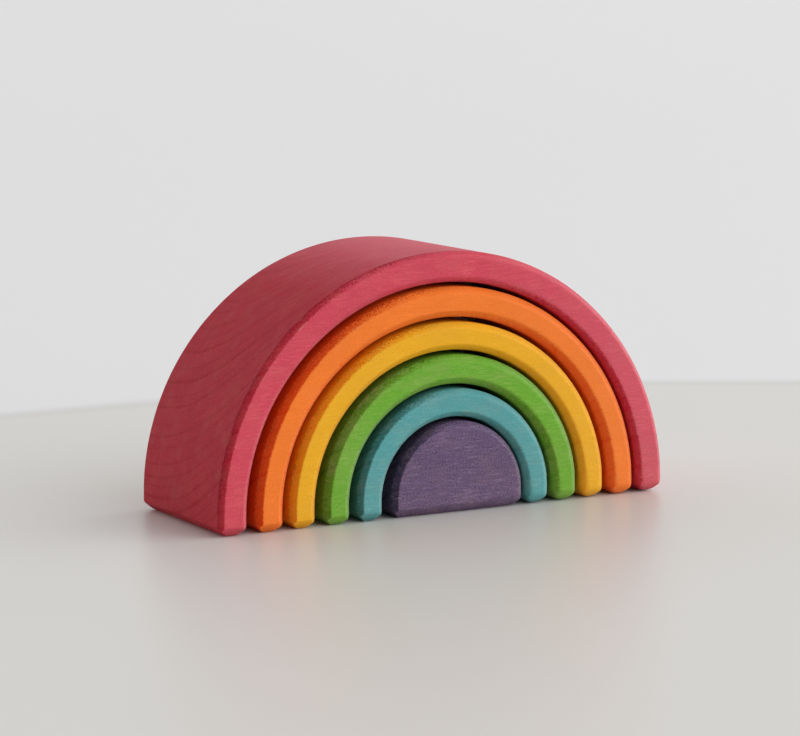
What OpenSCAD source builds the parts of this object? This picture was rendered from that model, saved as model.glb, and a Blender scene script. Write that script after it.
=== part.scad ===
// Nesting rainbow of stained wood: five arches and a solid half-round core.
// Millimetres. Origin on the table, under the middle of the outer arch.
// +X to the right, +Y to the back, +Z up.

/* [Outer arch] */
// Width across the feet of the outer arch
overall_w = 105; // [92:1:160]
// Straight leg below the half round of the outer arch
leg_h = 2.5; // [2.5:0.5:12]
// Depth of every piece from front to back
depth = 40; // [20:1:80]

/* [Walls] */
// Wall of the red arch
red_wall = 6.5; // [5:0.1:8]
// Wall of the orange arch
orange_wall = 6.4; // [5:0.1:8]
// Wall of the yellow arch
yellow_wall = 5.9; // [5:0.1:8]
// Wall of the green arch
green_wall = 6.2; // [5:0.1:8]
// Wall of the teal arch
teal_wall = 5.9; // [5:0.1:8]

/* [Gaps] */
// Gap on each side of a piece that stands centred in the one around it
side_gap = 1.2; // [0.8:0.1:2]
// Gap above each piece
crown_gap = 0.95; // [0.5:0.05:1.4]
// Least gap left beside a piece that has slid sideways as far as it may
least_gap = 0.3; // [0.2:0.05:0.6]

/* [Nesting] */
// Share of its sideways play that the orange arch has slid to the right
orange_slid = 0.7; // [0:0.05:0.9]
// Share of its sideways play that the yellow arch has slid to the right
yellow_slid = 0.1; // [0:0.05:0.9]
// Share of its sideways play that the green arch has slid to the right
green_slid = 0.6; // [0:0.05:0.9]
// Share of its sideways play that the teal arch has slid to the right
teal_slid = 0.4; // [0:0.05:0.9]
// Share of its sideways play that the core has slid to the right
core_slid = 0.9; // [0:0.05:0.9]

/* [Edges] */
// Chamfer on the front and back edges of every piece
edge_chamfer = 1.2; // [0.4:0.1:2]
// Chamfer round the underside of every foot
foot_chamfer = 1.9; // [0.4:0.1:2.2]

/* [Hidden] */
$fn = 96;

// Outer radius of each piece's half round, from the outside in
red_r = overall_w / 2;
orange_r = red_r - red_wall - side_gap;
yellow_r = orange_r - orange_wall - side_gap;
green_r = yellow_r - yellow_wall - side_gap;
teal_r = green_r - green_wall - side_gap;
core_r = teal_r - teal_wall - side_gap;

// Straight leg of each piece: it lifts the crown until only the crown gap is left above it
leg_rise = side_gap - crown_gap;
orange_leg = leg_h + leg_rise;
yellow_leg = orange_leg + leg_rise;
green_leg = yellow_leg + leg_rise;
teal_leg = green_leg + leg_rise;
core_leg = teal_leg + leg_rise;

// Where each piece stands, to the right of the outer arch's middle
side_play = side_gap - least_gap;
orange_x = orange_slid * side_play;
yellow_x = orange_x + yellow_slid * side_play;
green_x = yellow_x + green_slid * side_play;
teal_x = green_x + teal_slid * side_play;
core_x = teal_x + core_slid * side_play;

// Section of a bar from x_low to x_high, front to back, with its four long edges chamfered
module bar_section(x_low, x_high) {
    half = depth / 2;
    c = edge_chamfer;
    polygon([
        [x_low + c, -half], [x_high - c, -half],
        [x_high, -half + c], [x_high, half - c],
        [x_high - c, half], [x_low + c, half],
        [x_low, half - c], [x_low, -half + c]
    ]);
}

// Outline of a standing block from low to high, with its two bottom corners chamfered
module foot_outline(low, high, top) {
    f = foot_chamfer;
    polygon([[low + f, 0], [high - f, 0], [high, f], [high, top], [low, top], [low, f]]);
}

// Straight leg that stands on the table, chamfered round its underside
module straight_leg(x_low, x_high, top) {
    intersection() {
        linear_extrude(top) bar_section(x_low, x_high);
        rotate([90, 0, 0])
            linear_extrude(depth, center = true) foot_outline(x_low, x_high, top);
        translate([x_low, 0, 0]) rotate([90, 0, 90])
            linear_extrude(x_high - x_low) foot_outline(-depth / 2, depth / 2, top);
    }
}

// Sweeps a section through a half turn over the top of the legs
module half_round(leg) {
    translate([0, 0, leg]) rotate([90, 0, 0]) rotate_extrude(angle = 180) children();
}

// Arch: a chamfered bar bent to a half round, on two straight legs
module arch(r, wall, leg) {
    half_round(leg) bar_section(r - wall, r);
    straight_leg(r - wall, r, leg);
    mirror([1, 0, 0]) straight_leg(r - wall, r, leg);
}

module red_arch() {
    color([0.79, 0.30, 0.36]) arch(red_r, red_wall, leg_h);
}

module orange_arch() {
    color([0.92, 0.48, 0.22]) translate([orange_x, 0, 0]) arch(orange_r, orange_wall, orange_leg);
}

module yellow_arch() {
    color([0.87, 0.64, 0.19]) translate([yellow_x, 0, 0]) arch(yellow_r, yellow_wall, yellow_leg);
}

module green_arch() {
    color([0.44, 0.64, 0.24]) translate([green_x, 0, 0]) arch(green_r, green_wall, green_leg);
}

module teal_arch() {
    color([0.38, 0.63, 0.65]) translate([teal_x, 0, 0]) arch(teal_r, teal_wall, teal_leg);
}

// Core: a solid half round on one broad foot
module purple_core() {
    color([0.41, 0.34, 0.45]) translate([core_x, 0, 0]) {
        half_round(core_leg) intersection() {
            bar_section(-core_r, core_r);
            translate([0, -depth / 2]) square([core_r, depth]);
        }
        straight_leg(-core_r, core_r, core_leg);
    }
}

red_arch();
orange_arch();
yellow_arch();
green_arch();
teal_arch();
purple_core();
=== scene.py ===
import math

import bpy
from mathutils import Matrix, Vector


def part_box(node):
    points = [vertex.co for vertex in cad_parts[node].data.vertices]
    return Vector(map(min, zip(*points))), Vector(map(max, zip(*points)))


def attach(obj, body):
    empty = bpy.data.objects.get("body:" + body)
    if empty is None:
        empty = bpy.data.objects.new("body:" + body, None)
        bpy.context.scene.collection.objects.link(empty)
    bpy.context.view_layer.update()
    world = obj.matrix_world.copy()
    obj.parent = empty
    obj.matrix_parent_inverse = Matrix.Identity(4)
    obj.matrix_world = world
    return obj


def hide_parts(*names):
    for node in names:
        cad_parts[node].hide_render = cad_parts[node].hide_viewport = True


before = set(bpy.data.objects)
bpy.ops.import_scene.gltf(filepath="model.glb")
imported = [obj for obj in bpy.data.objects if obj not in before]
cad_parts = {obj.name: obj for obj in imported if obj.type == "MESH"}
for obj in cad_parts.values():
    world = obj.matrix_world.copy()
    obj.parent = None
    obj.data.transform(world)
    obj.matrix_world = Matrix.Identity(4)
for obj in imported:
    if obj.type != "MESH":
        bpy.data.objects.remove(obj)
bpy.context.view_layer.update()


# Five arches
# Each arch is a bar sawn as a half round on two short legs from one block of pale hardwood, its edges
# chamfered and sanded soft by hand, then water stained and oiled. They only stand inside one another.

# A finish says how strongly the fibres show (figure, streaks), how far bare wood shows through (thin), how
# much of the darker end stain and its painted shade is kept off the right half (left_only_shade) and how
# strong a painted sheen lies over the right side (right_sheen). The end stain also carries painted shade.
arch_finishes = {
    "red_arch": {
        "stain": (0.603, 0.063, 0.101), "shaded_end_stain": (0.505, 0.021, 0.043),
        "figure": 1.0, "streaks": 0.13, "thin": 0.7, "left_only_shade": 0.0, "right_sheen": 0.040,
    },
    "orange_arch": {
        "stain": (0.860, 0.194, 0.024), "shaded_end_stain": (0.760, 0.064, 0.003),
        "figure": 0.55, "streaks": 0.07, "thin": 0.3, "left_only_shade": 0.35, "right_sheen": 0.015,
    },
    "yellow_arch": {
        "stain": (0.800, 0.394, 0.015), "shaded_end_stain": (0.820, 0.235, 0.003),
        "figure": 0.55, "streaks": 0.07, "thin": 0.3, "left_only_shade": 0.5, "right_sheen": 0.016,
    },
    "green_arch": {
        "stain": (0.144, 0.382, 0.032), "shaded_end_stain": (0.106, 0.235, 0.010),
        "figure": 1.0, "streaks": 0.13, "thin": 1.3, "left_only_shade": 0.2, "right_sheen": 0.0,
    },
    "teal_arch": {
        "stain": (0.094, 0.335, 0.345), "shaded_end_stain": (0.040, 0.166, 0.163),
        "figure": 0.9, "streaks": 0.12, "thin": 0.8, "left_only_shade": 0.5, "right_sheen": 0.020,
    },
}
edge_chamfers = {
    "red_arch": 0.00110,
    "orange_arch": 0.00140,
    "yellow_arch": 0.00125,
    "green_arch": 0.00140,
    "teal_arch": 0.00115,
}
nest = [*arch_finishes, "purple_core"]
saw_gap = 0.0012
hand_work = {
    "Foot Chamfer": 0.0019,
    "Arris": 0.00020,
    "Foot Arris": 0.00070,
    "Right Wear": 0.05,
    "Chamfer Wander": 0.00005,
    "Sanded Dip": 0.00008,
}
fine_strip = 0.0017
fine_rows = 9
on_surface = 1e-6


class Term:
    """A number inside a node tree: plain arithmetic on it adds Math nodes."""

    def __init__(self, tree, socket):
        self.tree = tree
        self.socket = socket

    def step(self, operation, *others):
        node = self.tree.nodes.new("ShaderNodeMath")
        node.operation = operation
        for socket, value in zip(node.inputs, (self, *others)):
            feed(self.tree, socket, value)
        return Term(self.tree, node.outputs[0])

    def __add__(self, other):
        return self.step("ADD", other)

    def __sub__(self, other):
        return self.step("SUBTRACT", other)

    def __mul__(self, other):
        return self.step("MULTIPLY", other)

    def __truediv__(self, other):
        return self.step("DIVIDE", other)

    def __neg__(self):
        return self.step("MULTIPLY", -1.0)

    def ramp(self, low, high, to_low=0.0, to_high=1.0, smooth=False):
        """Goes from to_low to to_high while the number goes from low to high, and no further."""
        node = self.tree.nodes.new("ShaderNodeMapRange")
        node.interpolation_type = "SMOOTHSTEP" if smooth else "LINEAR"
        for socket, value in zip(node.inputs, (self, low, high, to_low, to_high)):
            feed(self.tree, socket, value)
        return Term(self.tree, node.outputs[0])


def feed(tree, socket, value):
    """Joins a socket to another one, or sets it to a plain value."""
    if isinstance(value, Term):
        value = value.socket
    if isinstance(value, bpy.types.NodeSocket):
        tree.links.new(value, socket)
    else:
        socket.default_value = value


def add_node(tree, kind, settings=None, **inputs):
    """Adds a node; an input's name is written with _ for each space."""
    node = tree.nodes.new(kind)
    for name, value in (settings or {}).items():
        setattr(node, name, value)
    for name, value in inputs.items():
        feed(tree, node.inputs[name.replace("_", " ")], value)
    return node


def in_use(sockets):
    """The sockets that a node's settings leave in use."""
    return [socket for socket in sockets if socket.enabled]


def split(tree, vector):
    """The three numbers of a vector."""
    node = add_node(tree, "ShaderNodeSeparateXYZ", Vector=vector)
    return [Term(tree, socket) for socket in node.outputs]


def join(tree, x, y, z):
    """A vector from three numbers."""
    return add_node(tree, "ShaderNodeCombineXYZ", X=x, Y=y, Z=z).outputs[0]


def scaled(tree, vector, factor):
    """A vector or a colour times a number."""
    node = add_node(tree, "ShaderNodeVectorMath", {"operation": "SCALE"}, Vector=vector, Scale=factor)
    return node.outputs[0]


def noise(tree, vector, scale, detail=2.0, roughness=0.5, seed=0.0):
    """Smooth noise from 0 to 1 at a place; the seed picks another field."""
    node = add_node(tree, "ShaderNodeTexNoise", {"noise_dimensions": "4D"}, Vector=vector, W=seed,
                    Scale=scale, Detail=detail, Roughness=roughness)
    return Term(tree, node.outputs[0])


def shape_tree(name, sizes):
    """A node tree for a wooden piece with one named input for each size, a seed and a material."""
    tree = bpy.data.node_groups.new(name, "GeometryNodeTree")
    for size in (*sizes, "Chamfer", *hand_work, "Seed"):
        tree.interface.new_socket(size, in_out="INPUT", socket_type="NodeSocketFloat")
    tree.interface.new_socket("Material", in_out="INPUT", socket_type="NodeSocketMaterial")
    tree.interface.new_socket("Geometry", in_out="OUTPUT", socket_type="NodeSocketGeometry")
    given = tree.nodes.new("NodeGroupInput").outputs
    return tree, {socket.name: Term(tree, socket) for socket in given if socket.name}


def grid_block(tree, size, counts):
    """A block with a grid of points on its faces, and the place of each point."""
    block = add_node(tree, "GeometryNodeMeshCube", Size=size,
                     Vertices_X=counts[0], Vertices_Y=counts[1], Vertices_Z=counts[2])
    start = split(tree, tree.nodes.new("GeometryNodeInputPosition").outputs[0])
    return block.outputs[0], start


def crowded(share, count, plain, strip):
    """Spreads a share from 0 to 1 over a plain stretch and, for its last rows, a strip along the edge."""
    crowded_from = 1.0 - fine_rows / ((count - 1) / 2)
    return share.ramp(0.0, crowded_from, 0.0, plain) + share.ramp(crowded_from, 1.0, 0.0, strip)


def chamfer_pushes(tree, given, distances, depths, arrises, place):
    """How far a point of the inner block moves out each way, so that soft 45 degree chamfers are left."""
    wander_scale = 70.0
    first, second, third = distances
    least = first.step("MINIMUM", second).step("MINIMUM", third)
    most = first.step("MAXIMUM", second).step("MAXIMUM", third)
    to_seam = first + second + third - least - most
    wander = (noise(tree, place, wander_scale, seed=given["Seed"]) - 0.5) * 2.0 * given["Chamfer Wander"]
    shared = to_seam.step("LESS_THAN", on_surface) * -0.5 + 1.0
    pushes = []
    for distance, depth, arris in zip(distances, depths, arrises):
        push = depth.step("SMOOTH_MIN", to_seam + wander, arris)
        pushes.append(push * shared * distance.step("LESS_THAN", on_surface))
    from_seam = to_seam * (second.step("LESS_THAN", on_surface) * 2.0 - 1.0)
    return from_seam, pushes


def finish_tree(tree, given, mesh, from_seam, place):
    """Keeps the distance from the chamfer's middle, bends the block into place, sands it and stains it."""
    foot_worn_to = 0.0025
    foot_unworn_from = 0.006
    foot_wear = 0.9
    wear_from_x = 0.005
    wear_full_x = 0.0135
    sanding_strokes = 14
    dip_scale = 90.0
    dip_field = 7.0

    kept = add_node(tree, "GeometryNodeStoreNamedAttribute", {"data_type": "FLOAT", "domain": "POINT"},
                    Geometry=mesh, Name="from_seam", Value=from_seam)
    bent = add_node(tree, "GeometryNodeSetPosition", Geometry=kept.outputs[0], Position=place)
    here = tree.nodes.new("GeometryNodeInputPosition").outputs[0]
    x, _, z = split(tree, here)
    near_foot = z.ramp(foot_worn_to, foot_unworn_from, foot_wear, 0.0)
    to_right = (x - given["Stand X"]).ramp(wear_from_x, wear_full_x)
    wear = to_right * given["Right Wear"].step("MAXIMUM", near_foot)
    rub = add_node(tree, "GeometryNodeBlurAttribute", {"data_type": "FLOAT_VECTOR"},
                   Iterations=sanding_strokes, Weight=wear)
    feed(tree, in_use(rub.inputs)[0], here)
    rubbed = in_use(rub.outputs)[0]
    worn = add_node(tree, "GeometryNodeSetPosition", Geometry=bent.outputs[0], Position=rubbed)
    dips = noise(tree, here, dip_scale, detail=1.0, seed=given["Seed"] + dip_field)
    outward = tree.nodes.new("GeometryNodeInputNormal").outputs[0]
    inward = scaled(tree, outward, dips * given["Sanded Dip"] * -1.0)
    sanded = add_node(tree, "GeometryNodeSetPosition", Geometry=worn.outputs[0], Offset=inward)
    smooth = add_node(tree, "GeometryNodeSetShadeSmooth", Geometry=sanded.outputs[0])
    real = add_node(tree, "GeometryNodeRealizeInstances", Geometry=smooth.outputs[0])
    stained = add_node(tree, "GeometryNodeSetMaterial", Geometry=real.outputs[0],
                       Material=given["Material"])
    add_node(tree, "NodeGroupOutput", Geometry=stained.outputs[0])


def bent_bar_tree():
    """A chamfered bar along a half round with two straight legs, worked out on a straight block."""
    tree, given = shape_tree("bent bar", ("Outer Radius", "Wall", "Leg", "Depth", "Stand X"))
    middle_radius = given["Outer Radius"] - given["Wall"] * 0.5
    quarter_arc = middle_radius * (math.pi / 2)
    half_edge = given["Chamfer"] * 0.5
    foot_inset = given["Foot Chamfer"] - half_edge
    depths = (foot_inset, half_edge, half_edge)
    halves = (quarter_arc + given["Leg"], given["Depth"] * 0.5, given["Wall"] * 0.5)
    inner = [half - depth for half, depth in zip(halves, depths)]
    counts = (250, 60, 26)
    block, start = grid_block(tree, join(tree, *(half * 2.0 for half in inner)), counts)

    placed, signs, distances = [], [], []
    for at, half, count in zip(start, inner, counts):
        out = crowded(at.step("ABSOLUTE") / half, count, half - fine_strip, fine_strip)
        sign = at.step("SIGN")
        signs.append(sign)
        placed.append(out * sign)
        distances.append(half - out)

    arrises = (given["Foot Arris"], given["Arris"], given["Arris"])
    from_seam, pushes = chamfer_pushes(tree, given, distances, depths, arrises, join(tree, *placed))
    along, across, up = (at + sign * push for at, sign, push in zip(placed, signs, pushes))
    turn = (along / middle_radius).step("MAXIMUM", -math.pi / 2).step("MINIMUM", math.pi / 2)
    down_leg = (along.step("ABSOLUTE") - quarter_arc).step("MAXIMUM", 0.0)
    radius = middle_radius + up
    place = join(tree, given["Stand X"] + radius * turn.step("SINE"), across,
                 given["Leg"] + radius * turn.step("COSINE") - down_leg)
    finish_tree(tree, given, block, from_seam, place)
    return tree


# Each mark in the wood is noise over places in millimetres, and some are drawn out along the fibres. The
# field picks the noise and a piece's seed moves on from it, but the rings bend alike in the whole block.
wood_marks = {
    "ring bend": {"field": 2.0, "scale": 0.06, "along": 0.2, "detail": 3.0},
    "fibre": {"field": 11.0, "scale": 1.0, "along": 0.3, "across": 2.6, "roughness": 0.6},
    "fuzz": {"field": 23.0, "scale": 3.0, "detail": 1.0, "roughness": 0.6},
    "blotch": {"field": 31.0, "scale": 0.11, "detail": 3.0},
    "pores": {"field": 41.0, "scale": 3.4, "roughness": 0.7},
    "streak": {"field": 53.0, "scale": 1.0, "along": 0.3, "across": 2.2, "roughness": 0.6},
    "patch": {"field": 59.0, "scale": 0.30, "along": 0.5, "detail": 3.0},
    "rubbed": {"field": 61.0, "scale": 0.30, "detail": 4.0, "roughness": 0.6},
}
millimetres = 1000.0


def wood_mark(tree, place, seed, field, scale, along=1.0, across=1.0, detail=2.0, roughness=0.5):
    """One of the marks in the wood, from 0 to 1."""
    x, y, z = place
    drawn_out = join(tree, x * along, y * across, z * across)
    return noise(tree, drawn_out, scale, detail, roughness, seed + field)


def growth_rings(tree, place):
    """The late wood, from 0 to 1, in rings round a heart along X that lies above the back of the pieces."""
    heart_y = 18.0
    heart_z = 66.0
    ring_width = 2.7
    most_bend = 2.0
    most_crowding = 6.0
    crowding_scale = 0.16
    crowding_field = 3.0
    late_from = 0.70
    late_peak = 0.93
    palest_year = 0.3

    bend = wood_mark(tree, place, 0.0, **wood_marks["ring bend"]) * most_bend
    aside = place[1] - heart_y
    below = place[2] - heart_z
    from_heart = (aside.step("POWER", 2.0) + below.step("POWER", 2.0)).step("SQRT") + bend
    outward = join(tree, from_heart, 0.0, 0.0)
    crowding = noise(tree, outward, crowding_scale, seed=crowding_field) * most_crowding
    year = (from_heart + crowding) / ring_width
    in_year = year.step("FRACT")
    late_wood = in_year.ramp(late_from, late_peak, smooth=True) * in_year.ramp(late_peak, 1.0, 1.0, 0.0)
    this_year = add_node(tree, "ShaderNodeTexWhiteNoise", {"noise_dimensions": "1D"}, W=year.step("FLOOR"))
    return late_wood * Term(tree, this_year.outputs["Value"]).ramp(0.0, 1.0, palest_year, 1.0)


def mixed(tree, share, under, over):
    """One colour with a share of another over it."""
    node = add_node(tree, "ShaderNodeMix", {"data_type": "RGBA"})
    for socket, value in zip(in_use(node.inputs), (share, under, over)):
        feed(tree, socket, value)
    return in_use(node.outputs)[0]


def end_soak_and_left_shade(facing, to_front, to_side, pores):
    """How far the darker end stain covers: real soak into ends and, unevenly, chamfers, with painted shade
    on ends facing left.
    """
    right_ends = 0.2
    chamfer_ends = 0.4
    by_pores = 2.4
    by_side = 0.5
    soak_from = 0.15
    soak_full = 0.52

    # Painted shade: ends facing left take all of this soak, ends facing right only a fifth.
    open_ends = (-facing[0]).step("MAXIMUM", facing[0] * right_ends) * (to_front * chamfer_ends + 1.0)
    # Painted shade darkens each chamfer towards its side edge and lightens it towards the face.
    soak_and_shade = open_ends + pores * to_front * by_pores + (to_side - 0.5) * to_front * by_side
    return soak_and_shade.ramp(soak_from, soak_full)


def arris_shade(facing, to_front, to_side, pores, left_half):
    """How much painted shade darkens the arrises that face left, broken up by the pores."""
    side_band = (0.4, 1.0)
    chamfer_band = (0.05, 0.4)
    left_band = (-0.2, 0.2)
    pore_band = (-0.12, 0.12)
    darkest = 0.6
    on_right = 0.2

    shade = to_side.ramp(*side_band) * to_front.ramp(*chamfer_band) * (-facing[0]).ramp(*left_band)
    return shade * pores.ramp(*pore_band, 0.0, darkest) * (left_half * (1.0 - on_right) + on_right)


def bare_share(tree, place, from_seam, fuzz, streak, thin, seed):
    """How far bare wood shows: in streaks and patches, near the feet, and where the arrises are rubbed."""
    patch_band = (0.45, 0.75)
    rubbed_band = (0.58, 0.72)
    foot_band = (3.0, 15.0)
    foot_share = 0.5
    arris_from_seam = 0.6
    arris_band = (0.05, 0.30)
    streak_share = 0.10
    patch_share = 0.09
    rubbed_share = 0.22
    most_bare = 0.6

    patch = wood_mark(tree, place, seed, **wood_marks["patch"]).ramp(*patch_band)
    patch = patch + place[2].ramp(*foot_band, foot_share, 0.0) * fuzz
    from_arris = (from_seam.step("ABSOLUTE") * millimetres - arris_from_seam).step("ABSOLUTE")
    at_arris = from_arris.ramp(*arris_band, 1.0, 0.0)
    rubbed = at_arris * wood_mark(tree, place, seed, **wood_marks["rubbed"]).ramp(*rubbed_band)
    bare = streak * (streak_share * thin) + patch * (patch_share * thin) + rubbed * rubbed_share
    return bare.step("MINIMUM", most_bare)


def painted_sheen_share(place, facing, to_front, fuzz, soak_and_shade, thin, right_sheen):
    """How far a painted sheen pales the stain: on chamfers that face right, and over the right side of a
    piece.
    """
    right_band = (0.15, 0.65)
    chamfer_band = (0.4, 0.65)
    in_fuzz = {"low": 0.35, "high": 0.65, "to_low": 0.5, "to_high": 1.5}
    chamfer_sheen_share = 0.12
    most_thin = 0.8
    right_sheen_band = (10.0, 48.0)

    # Painted highlight on the chamfers that face right.
    chamfer_sheen = facing[0].ramp(*right_band) * to_front.ramp(*chamfer_band) * fuzz.ramp(**in_fuzz)
    # Painted sheen that grows towards the right side.
    right_side_sheen = place[0].ramp(*right_sheen_band) * (-soak_and_shade + 1.0) * right_sheen
    return chamfer_sheen * (chamfer_sheen_share * min(thin, most_thin)) + right_side_sheen


def oil_over(tree, shader, fibre, fuzz, soak_and_shade, late_wood):
    """A satin coat of oil, duller where the grain is open, over a surface that the grain makes uneven."""
    shine = 0.12
    roughness = 0.40
    fibre_roughness = 0.14
    fuzz_roughness = 0.10
    soaked_roughness = 0.10
    fibre_relief = 0.5
    fuzz_relief = 0.6
    ring_relief = 0.40
    relief_strength = 0.35
    relief_height = 0.00012

    shader.inputs["Specular IOR Level"].default_value = shine
    dull = fibre * fibre_roughness + fuzz * fuzz_roughness + soak_and_shade * soaked_roughness + roughness
    feed(tree, shader.inputs["Roughness"], dull)
    relief = fibre * fibre_relief + fuzz * fuzz_relief + late_wood * ring_relief
    bump = add_node(tree, "ShaderNodeBump", Strength=relief_strength, Distance=relief_height,
                    Height=relief)
    feed(tree, shader.inputs["Normal"], bump.outputs[0])


def stained_wood(name, stain, shaded_end_stain, figure, streaks, thin, left_only_shade, right_sheen, seed):
    """Water stain on pale hardwood whose fibres run along X, thinner and paler in places, and oiled, with
    painted shade and sheen.
    """
    half_chamfer = 0.7
    right_from_x = 0.0
    right_full_x = 12.0
    fibre_weight = 0.22
    fuzz_weight = 0.62
    blotch_weight = 0.18
    # How much painted shade darkens the chamfers on the left half.
    left_chamfer_shade = 0.14
    streak_band = (0.50, 0.75)
    streak_in_blotch = {"low": 0.4, "high": 0.6, "to_low": 0.5, "to_high": 1.3}
    mean_streak = 0.25
    end_ring_depth = 0.36
    side_ring_depth = 0.02
    ring_in_blotch = {"low": 0.35, "high": 0.6, "to_low": 0.45, "to_high": 1.0}
    # The colour of the painted sheen.
    sheen_colour = (0.74, 0.72, 0.74)
    bare_wood = (0.60, 0.40, 0.26)

    material = bpy.data.materials.new(name)
    material.use_nodes = True
    tree = material.node_tree
    shader = tree.nodes["Principled BSDF"]
    coordinates = tree.nodes.new("ShaderNodeTexCoord")
    place = split(tree, scaled(tree, coordinates.outputs["Object"], millimetres))
    facing = split(tree, coordinates.outputs["Normal"])
    across_fibres = facing[0].step("ABSOLUTE")
    to_front = facing[1].step("ABSOLUTE")
    left_half = place[0].ramp(right_from_x, right_full_x, 1.0, 0.0)
    seam = add_node(tree, "ShaderNodeAttribute", {"attribute_name": "from_seam"})
    from_seam = Term(tree, seam.outputs["Fac"])
    to_side = (from_seam * millimetres).ramp(-half_chamfer, half_chamfer, 1.0, 0.0)

    fibre = wood_mark(tree, place, seed, **wood_marks["fibre"])
    fuzz = wood_mark(tree, place, seed, **wood_marks["fuzz"])
    blotch = wood_mark(tree, place, seed, **wood_marks["blotch"])
    pores = wood_mark(tree, place, seed, **wood_marks["pores"]) - 0.5
    streak = wood_mark(tree, place, seed, **wood_marks["streak"]).ramp(*streak_band)
    late_wood = growth_rings(tree, place)
    # Painted shade: the right half gets less of the darker end stain than the left half.
    soak_and_shade = end_soak_and_left_shade(facing, to_front, to_side, pores) * (left_half * left_only_shade + (1.0 - left_only_shade))

    tone_and_shade = (fibre - 0.5) * (fibre_weight * figure) + (fuzz - 0.5) * (fuzz_weight * figure)
    tone_and_shade = tone_and_shade + (blotch - 0.5) * blotch_weight + 1.0
    tone_and_shade = tone_and_shade + (streak * blotch.ramp(**streak_in_blotch) - mean_streak) * streaks
    # Painted shade: chamfers on the left half are darkened where the end stain lies.
    tone_and_shade = tone_and_shade - soak_and_shade * to_front * left_half * left_chamfer_shade
    # Painted shade along the arrises that face left.
    tone_and_shade = tone_and_shade - arris_shade(facing, to_front, to_side, pores, left_half)
    ring_depth = late_wood * (across_fibres * end_ring_depth + side_ring_depth)
    ring_depth = ring_depth * blotch.ramp(**ring_in_blotch)

    stained = mixed(tree, soak_and_shade, (*stain, 1.0), (*shaded_end_stain, 1.0))
    ringed = add_node(tree, "ShaderNodeGamma", Color=stained, Gamma=ring_depth + 1.0)
    shaded = scaled(tree, ringed.outputs[0], tone_and_shade)
    # Painted sheen over the stain on right-facing chamfers and towards the right.
    sheen = painted_sheen_share(place, facing, to_front, fuzz, soak_and_shade, thin, right_sheen)
    with_sheen = mixed(tree, sheen, shaded, (*sheen_colour, 1.0))
    bare = bare_share(tree, place, from_seam, fuzz, streak, thin, seed)
    feed(tree, shader.inputs["Base Color"], mixed(tree, bare, with_sheen, (*bare_wood, 1.0)))
    oil_over(tree, shader, fibre, fuzz, soak_and_shade, late_wood)
    return material


def make_piece(name, tree, sizes):
    """Runs a shape tree once and leaves its result as a plain mesh at the origin."""
    piece = bpy.data.objects.new(name, bpy.data.meshes.new(name))
    bpy.context.collection.objects.link(piece)
    shape = piece.modifiers.new("shape", "NODES")
    shape.node_group = tree
    inputs = [item for item in tree.interface.items_tree if item.in_out == "INPUT"]
    identifiers = {item.name: item.identifier for item in inputs}
    for size, value in sizes.items():
        shape[identifiers[size]] = value
    depsgraph = bpy.context.evaluated_depsgraph_get()
    made = bpy.data.meshes.new_from_object(piece.evaluated_get(depsgraph),
                                           preserve_all_data_layers=True, depsgraph=depsgraph)
    piece.modifiers.remove(shape)
    piece.data = made
    return piece


bar_tree = bent_bar_tree()
for count, (node, inside) in enumerate(zip(nest, nest[1:])):
    low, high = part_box(node)
    inside_low, inside_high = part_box(inside)
    outer_radius = (high.x - low.x) / 2
    inner_radius = (inside_high.x - inside_low.x) / 2 + saw_gap
    wood = stained_wood(node.replace("arch", "stained_wood"), **arch_finishes[node], seed=float(count))
    arch = make_piece(node.replace("arch", "stained_arch"), bar_tree, {
        "Outer Radius": outer_radius,
        "Wall": outer_radius - inner_radius,
        "Leg": high.z - low.z - outer_radius,
        "Depth": high.y - low.y,
        "Stand X": (low.x + high.x) / 2,
        "Chamfer": edge_chamfers[node],
        **hand_work,
        "Seed": float(count),
        "Material": wood,
    })
    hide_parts(node)
    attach(arch, node)


# Core
# The half round that is left in the middle of the block: one solid piece of the same wood on one broad
# foot, chamfered and stained like the arches. It stands loose in the teal arch.

core_finish = {
    "stain": (0.136, 0.088, 0.174), "shaded_end_stain": (0.050, 0.037, 0.083),
    "figure": 2.5, "streaks": 0.40, "thin": 0.7, "left_only_shade": 0.0, "right_sheen": 0.0,
}
core_chamfer = 0.0012
core_foot_arris = 0.00035
core_seed = 5.0


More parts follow.
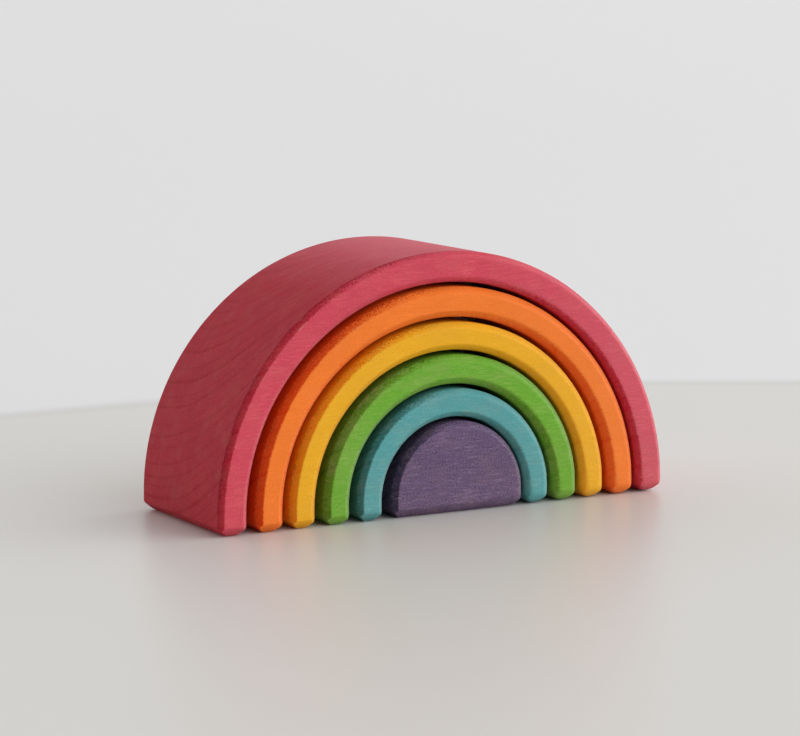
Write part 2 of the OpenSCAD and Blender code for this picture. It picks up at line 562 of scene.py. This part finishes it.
def half_round_tree():
    """A chamfered solid half round on a straight foot, worked out on a block whose section is a square."""
    tree, given = shape_tree("half round", ("Outer Radius", "Leg", "Depth", "Stand X"))
    half_edge = given["Chamfer"] * 0.5
    foot_inset = given["Foot Chamfer"] - half_edge
    rim = given["Outer Radius"] - half_edge
    half_depth = given["Depth"] * 0.5 - half_edge
    height_in_rims = 1.2
    half_height = rim * (height_in_rims / 2)
    counts = (100, 60, 96)
    block, start = grid_block(tree, (2.0, 2.0, 2.0), counts)

    spread = []
    for at, half, count in zip(start, (rim, half_depth, half_height), counts):
        strip = half.step("POWER", -1.0) * fine_strip
        out = crowded(at.step("ABSOLUTE"), count, -strip + 1.0, strip)
        spread.append(out * at.step("SIGN"))
    aside, across, up = spread

    foot_height = given["Leg"] - foot_inset
    rise = (up * 0.5 + 0.5) * (foot_height + rim)
    arc_share = ((rise - foot_height) / rim).step("MAXIMUM", 0.0)
    x = aside * rim * (arc_share * arc_share * -0.5 + 1.0).step("SQRT")
    y = across * half_depth
    over_foot = rim * arc_share * (aside * aside * -0.5 + 1.0).step("SQRT")
    z = foot_inset + rise.step("MINIMUM", foot_height) + over_foot

    to_centre = (x * x + over_foot * over_foot).step("SQRT")
    distances = (rim - to_centre, half_depth - y.step("ABSOLUTE"), z - foot_inset)
    depths = (half_edge, half_edge, foot_inset)
    arrises = (given["Arris"], given["Arris"], given["Foot Arris"])
    from_seam, pushes = chamfer_pushes(tree, given, distances, depths, arrises, join(tree, x, y, z))
    outward, endward, downward = pushes
    place = join(tree, given["Stand X"] + x + outward * x / rim, y + y.step("SIGN") * endward,
                 z + outward * over_foot / rim - downward)
    finish_tree(tree, given, block, from_seam, place)
    return tree


low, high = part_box("purple_core")
core_radius = (high.x - low.x) / 2
core = make_piece("purple_stained_core", half_round_tree(), {
    "Outer Radius": core_radius,
    "Leg": high.z - low.z - core_radius,
    "Depth": high.y - low.y,
    "Stand X": (low.x + high.x) / 2,
    "Chamfer": core_chamfer,
    **hand_work,
    "Foot Arris": core_foot_arris,
    "Seed": core_seed,
    "Material": stained_wood("purple_stained_wood", **core_finish, seed=core_seed),
})
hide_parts("purple_core")
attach(core, "purple_core")


# Table
# The pale satin table top that the rainbow stands on, with a slightly lighter stretch a hand's width
# behind it where the room goes on. It is part of the stage and not of the object.

table_half = 9.0
table_colour = (0.715, 0.699, 0.668)
table_roughness = 0.38
far_colour = (0.815, 0.812, 0.815)
room_line_y = 0.1595
room_corner_x = 0.076
room_line_slope = 0.653
room_line_blur = 0.006
room_line_width = 0.010
room_line_shade = 0.10

table_mesh = bpy.data.meshes.new("table")
table_corners = [(-table_half, -table_half, 0), (table_half, -table_half, 0),
                 (table_half, table_half, 0), (-table_half, table_half, 0)]
table_mesh.from_pydata(table_corners, [], [(0, 1, 2, 3)])
table = bpy.data.objects.new("table", table_mesh)
bpy.context.collection.objects.link(table)

table_top = bpy.data.materials.new("table_top")
table_top.use_nodes = True
tree = table_top.node_tree
shader = tree.nodes["Principled BSDF"]
shader.inputs["Roughness"].default_value = table_roughness
x, y, _ = split(tree, tree.nodes.new("ShaderNodeTexCoord").outputs["Object"])
behind = y - room_line_y + (x - room_corner_x).step("MAXIMUM", 0.0) * room_line_slope
far = behind.ramp(-room_line_blur, room_line_blur, smooth=True)
line = behind.step("ABSOLUTE").ramp(0.0, room_line_width, 1.0, 0.0, smooth=True)
tone = mixed(tree, far, (*table_colour, 1.0), (*far_colour, 1.0))
feed(tree, shader.inputs["Base Color"], scaled(tree, tone, line * -room_line_shade + 1.0))
table_mesh.materials.append(table_top)


# Light
# A pale room: two broad windows on the right, soft light back from the walls behind, and a dark corner to
# the left of the camera. Each window or wall is a soft lobe of glow round one direction; there is no lamp.

room_glow = 0.142
room_lobes = {
    "front window": {"turn": 18.0, "height": 15.0, "narrowness": 4.0, "strength": 1.82},
    "right window": {"turn": 69.0, "height": 16.0, "narrowness": 3.8, "strength": 2.24},
    "right wall": {"turn": 136.0, "height": 15.0, "narrowness": 3.6, "strength": 0.81},
    "left wall": {"turn": 222.0, "height": 11.0, "narrowness": 3.3, "strength": 1.18},
}


def direction(turn, height):
    """The way to something at a turn to the right of the front and at a height, both in degrees."""
    turn = math.radians(turn)
    height = math.radians(height)
    return Vector((math.sin(turn) * math.cos(height), -math.cos(turn) * math.cos(height), math.sin(height)))


room = bpy.data.worlds.new("room")
room.use_nodes = True
bpy.context.scene.world = room
tree = room.node_tree
background = tree.nodes["Background"]
look = tree.nodes.new("ShaderNodeTexCoord").outputs["Generated"]
glow = room_glow
for name, lobe in room_lobes.items():
    towards = add_node(tree, "ShaderNodeVectorMath", {"operation": "DOT_PRODUCT", "label": name})
    feed(tree, towards.inputs[0], look)
    feed(tree, towards.inputs[1], direction(lobe["turn"], lobe["height"]))
    shine = Term(tree, towards.outputs["Value"]).step("MAXIMUM", 0.0).step("POWER", lobe["narrowness"])
    glow = shine * lobe["strength"] + glow
feed(tree, background.inputs["Strength"], glow)
background.inputs["Color"].default_value = (1.0, 1.0, 1.0, 1.0)


# Camera
# A long lens a little to the left of the rainbow and slightly above it.

image_width = 800.0
focal_pixels = 3283.3
sensor_width = 36.0
turn = -27.40
height = 7.95
roll = math.radians(-0.835)
aim = Vector((-0.00076, 0.0, 0.02847))
distance = 0.69745
farthest_seen = 50.0

backward = direction(turn, height)
level = Vector((math.cos(math.radians(turn)), math.sin(math.radians(turn)), 0.0))
upward = backward.cross(level)
right = math.cos(roll) * level + math.sin(roll) * upward
top = -math.sin(roll) * level + math.cos(roll) * upward
camera = bpy.data.objects.new("camera", bpy.data.cameras.new("camera"))
camera.data.sensor_fit = "HORIZONTAL"
camera.data.sensor_width = sensor_width
camera.data.lens = focal_pixels / image_width * sensor_width
camera.data.clip_end = farthest_seen
pointing = Matrix((right, top, backward)).transposed().to_4x4()
camera.matrix_world = Matrix.Translation(aim + backward * distance) @ pointing
bpy.context.collection.objects.link(camera)
bpy.context.scene.camera = camera
bpy.context.scene.view_settings.view_transform = "Standard"
